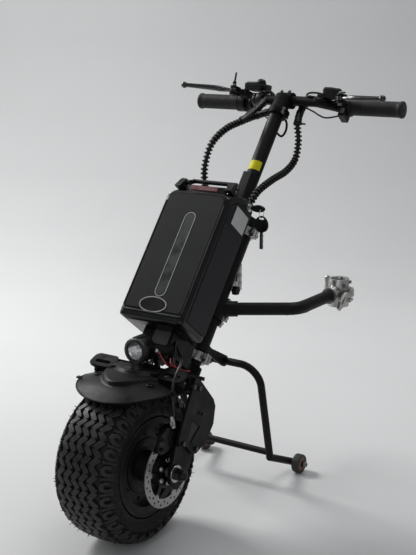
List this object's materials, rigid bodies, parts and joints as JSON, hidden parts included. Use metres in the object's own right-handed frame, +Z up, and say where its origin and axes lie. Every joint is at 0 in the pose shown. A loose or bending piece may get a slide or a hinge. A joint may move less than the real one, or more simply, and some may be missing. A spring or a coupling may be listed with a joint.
{
  "type": "wheelchair power assist",
  "caption": "Electric drive unit with a fat-tyre hub motor wheel, column battery, handlebar, parking stand and docking clamps for the front of a manual wheelchair.",
  "frame": {"origin": "on the ground under the middle of the unit's bounding box, which stands on its drive wheel and its parking stand's wheels", "axes": "+Z up, the drive wheel leads toward -Y, the docking arms reach back toward +Y, and +X is the disc brake's side"},
  "size_m": [0.524, 0.8117, 0.8446],
  "materials": {
    "tyre_rubber": "matte",
    "hub_metal": "satin black",
    "magnet_steel": "plated",
    "bearing_steel": "ground",
    "rotor_steel": "ground",
    "axle_steel": "turned",
    "winding_copper": "varnished",
    "black_steel": "satin powder coat",
    "bright_fasteners": "plated",
    "fender_plastic": "fine grain",
    "lamp_plastic": "satin",
    "lamp_glass": "clear",
    "bare_aluminium": "satin",
    "black_aluminium": "anodised black",
    "grip_rubber": "ribbed",
    "control_plastic": "satin",
    "button_grey": "satin",
    "button_red": "satin",
    "cable_jacket": "matte",
    "battery_case": "satin",
    "cell_wrap": "shrink wrap",
    "lock_chrome": "polished",
    "key_black": "satin",
    "handle_plastic": "satin",
    "bush_bronze": "sintered",
    "liner_rubber": "matte",
    "caster_rubber": "matte"
  },
  "bodies": {
    "frame": {"head_tube": "black_steel", "head_bushings": "bush_bronze", "docking_bracket": "black_steel", "arm_right": "black_steel", "arm_left": "black_steel", "clamp_body_right": "bare_aluminium", "clamp_body_left": "bare_aluminium", "clamp_liners": "liner_rubber"},
    "steering": {"steerer_tube": "black_steel", "steerer_collars": "bare_aluminium", "crown": "black_steel", "fork_blades": "black_steel", "dropouts": "black_steel", "fork_fasteners": "bright_fasteners", "axle": "axle_steel", "stator": "winding_copper", "fender": "fender_plastic", "headlight_bracket": "black_steel", "stem_tube": "black_steel", "upper_bridge": "black_steel", "bar_neck": "black_aluminium", "handlebar": "black_aluminium", "grip_fixed": "grip_rubber", "throttle_display": "control_plastic", "switch_box": "control_plastic", "lever_perches": "black_aluminium", "battery_rail": "black_steel", "controller_box": "black_aluminium", "loom_left": "cable_jacket", "loom_right": "cable_jacket", "control_cables": "cable_jacket", "caliper_body": "black_aluminium"},
    "wheel": {"tyre": "tyre_rubber", "hub_shell": "hub_metal", "hub_cover": "hub_metal", "magnet_ring": "magnet_steel", "hub_bearings": "bearing_steel", "brake_rotor": "rotor_steel"},
    "headlight": {"headlight_body": "lamp_plastic", "headlight_lens": "lamp_glass"},
    "throttle": {"throttle_grip": "grip_rubber"},
    "brake_lever_right": {"brake_lever_right": "black_aluminium"},
    "brake_lever_left": {"brake_lever_left": "black_aluminium"},
    "caliper_arm": {"caliper_arm": "bare_aluminium"},
    "display_button": {"display_button": "button_grey"},
    "horn_button": {"horn_button": "button_red"},
    "battery": {"battery_shell": "battery_case", "battery_caps": "battery_case", "cell_pack": "cell_wrap", "lock_cylinder": "lock_chrome"},
    "battery_handle": {"battery_handle": "handle_plastic"},
    "key": {"key": "lock_chrome"},
    "hanging_key": {"hanging_key": "key_black"},
    "stand": {"stand_frame": "black_steel"},
    "stand_wheel_right": {"stand_wheel_right": "caster_rubber"},
    "stand_wheel_left": {"stand_wheel_left": "caster_rubber"},
    "clamp_jaw_right": {"clamp_jaw_right": "bare_aluminium"},
    "clamp_jaw_left": {"clamp_jaw_left": "bare_aluminium"},
    "clamp_lever_right": {"clamp_lever_right": "bare_aluminium"},
    "clamp_lever_left": {"clamp_lever_left": "bare_aluminium"}
  },
  "joints": [
    {"name": "steering", "type": "hinge", "parent": "frame", "child": "steering", "pos_m": [0, 0.06947, 0.41233], "axis": [0, 0.6157, 0.788], "range_deg": [-40, 40]},
    {"name": "wheel_spin", "type": "hinge", "parent": "steering", "child": "wheel", "pos_m": [0, -0.25087, 0.155], "axis": [1, 0, 0], "continuous": true},
    {"name": "headlight_tilt", "type": "hinge", "parent": "steering", "child": "headlight", "pos_m": [0, -0.19887, 0.367], "axis": [1, 0, 0], "range_deg": [-15, 15]},
    {"name": "throttle_twist", "type": "hinge", "parent": "steering", "child": "throttle", "pos_m": [-0.2, 0.38587, 0.79457], "axis": [-1, 0, 0], "range_deg": [0, 70], "stiffness_Nm_per_rad": 0.4, "springref_deg": -11.46},
    {"name": "brake_lever_right_pull", "type": "hinge", "parent": "steering", "child": "brake_lever_right", "pos_m": [0.138, 0.33077, 0.81747], "axis": [0, 0.1564, 0.9877], "range_deg": [0, 18], "stiffness_Nm_per_rad": 2, "springref_deg": -8.59},
    {"name": "brake_lever_left_pull", "type": "hinge", "parent": "steering", "child": "brake_lever_left", "pos_m": [-0.138, 0.33503, 0.8258], "axis": [0, -0.309, -0.9511], "range_deg": [0, 18], "stiffness_Nm_per_rad": 2, "springref_deg": -8.59},
    {"name": "caliper_arm_turn", "type": "hinge", "parent": "steering", "child": "caliper_arm", "pos_m": [0.0755, -0.23687, 0.233], "axis": [-1, 0, 0], "range_deg": [0, 20.01]},
    {"name": "display_button_press", "type": "slide", "parent": "steering", "child": "display_button", "axis": [0, -0.1736, -0.9848], "range_m": [0, 0.0015], "stiffness_N_per_m": 400, "springref_m": -0.001},
    {"name": "horn_button_press", "type": "slide", "parent": "steering", "child": "horn_button", "axis": [0, -0.788, 0.6157], "range_m": [0, 0.0015], "stiffness_N_per_m": 400, "springref_m": -0.001},
    {"name": "battery_release", "type": "slide", "parent": "steering", "child": "battery", "axis": [0, 0.6157, 0.788], "range_m": [0, 0.04]},
    {"name": "battery_handle_swing", "type": "hinge", "parent": "battery", "child": "battery_handle", "pos_m": [0, 0.03106, 0.65554], "axis": [1, 0, 0], "range_deg": [0, 80]},
    {"name": "key_turn", "type": "hinge", "parent": "battery", "child": "key", "pos_m": [0.076, 0.05999, 0.61136], "axis": [1, 0, 0], "range_deg": [0, 90]},
    {"name": "hanging_key_swing", "type": "hinge", "parent": "key", "child": "hanging_key", "pos_m": [0.107, 0.05999, 0.60986], "axis": [1, 0, 0], "range_deg": [-30, 30]},
    {"name": "stand_fold", "type": "hinge", "parent": "frame", "child": "stand", "pos_m": [0, 0.05962, 0.2779], "axis": [1, 0, 0], "range_deg": [0, 60]},
    {"name": "stand_wheel_right_roll", "type": "hinge", "parent": "stand", "child": "stand_wheel_right", "pos_m": [0.126, 0.20146, 0.021], "axis": [1, 0, 0], "continuous": true},
    {"name": "stand_wheel_left_roll", "type": "hinge", "parent": "stand", "child": "stand_wheel_left", "pos_m": [-0.126, 0.20146, 0.021], "axis": [1, 0, 0], "continuous": true},
    {"name": "clamp_jaw_right_open", "type": "hinge", "parent": "frame", "child": "clamp_jaw_right", "pos_m": [0.117, 0.33271, 0.39027], "axis": [0, 0, 1], "range_deg": [0, 60]},
    {"name": "clamp_lever_right_open", "type": "hinge", "parent": "frame", "child": "clamp_lever_right", "pos_m": [0.176, 0.32371, 0.39027], "axis": [0, 0, 1], "range_deg": [0, 100]},
    {"name": "clamp_jaw_left_open", "type": "hinge", "parent": "frame", "child": "clamp_jaw_left", "pos_m": [-0.117, 0.33271, 0.39027], "axis": [0, 0, -1], "range_deg": [0, 60]},
    {"name": "clamp_lever_left_open", "type": "hinge", "parent": "frame", "child": "clamp_lever_left", "pos_m": [-0.176, 0.32371, 0.39027], "axis": [0, 0, -1], "range_deg": [0, 100]}
  ],
  "couplings": [
    {"joint": "caliper_arm_turn", "follows": "brake_lever_right_pull", "ratio": 1.1111}
  ]
}
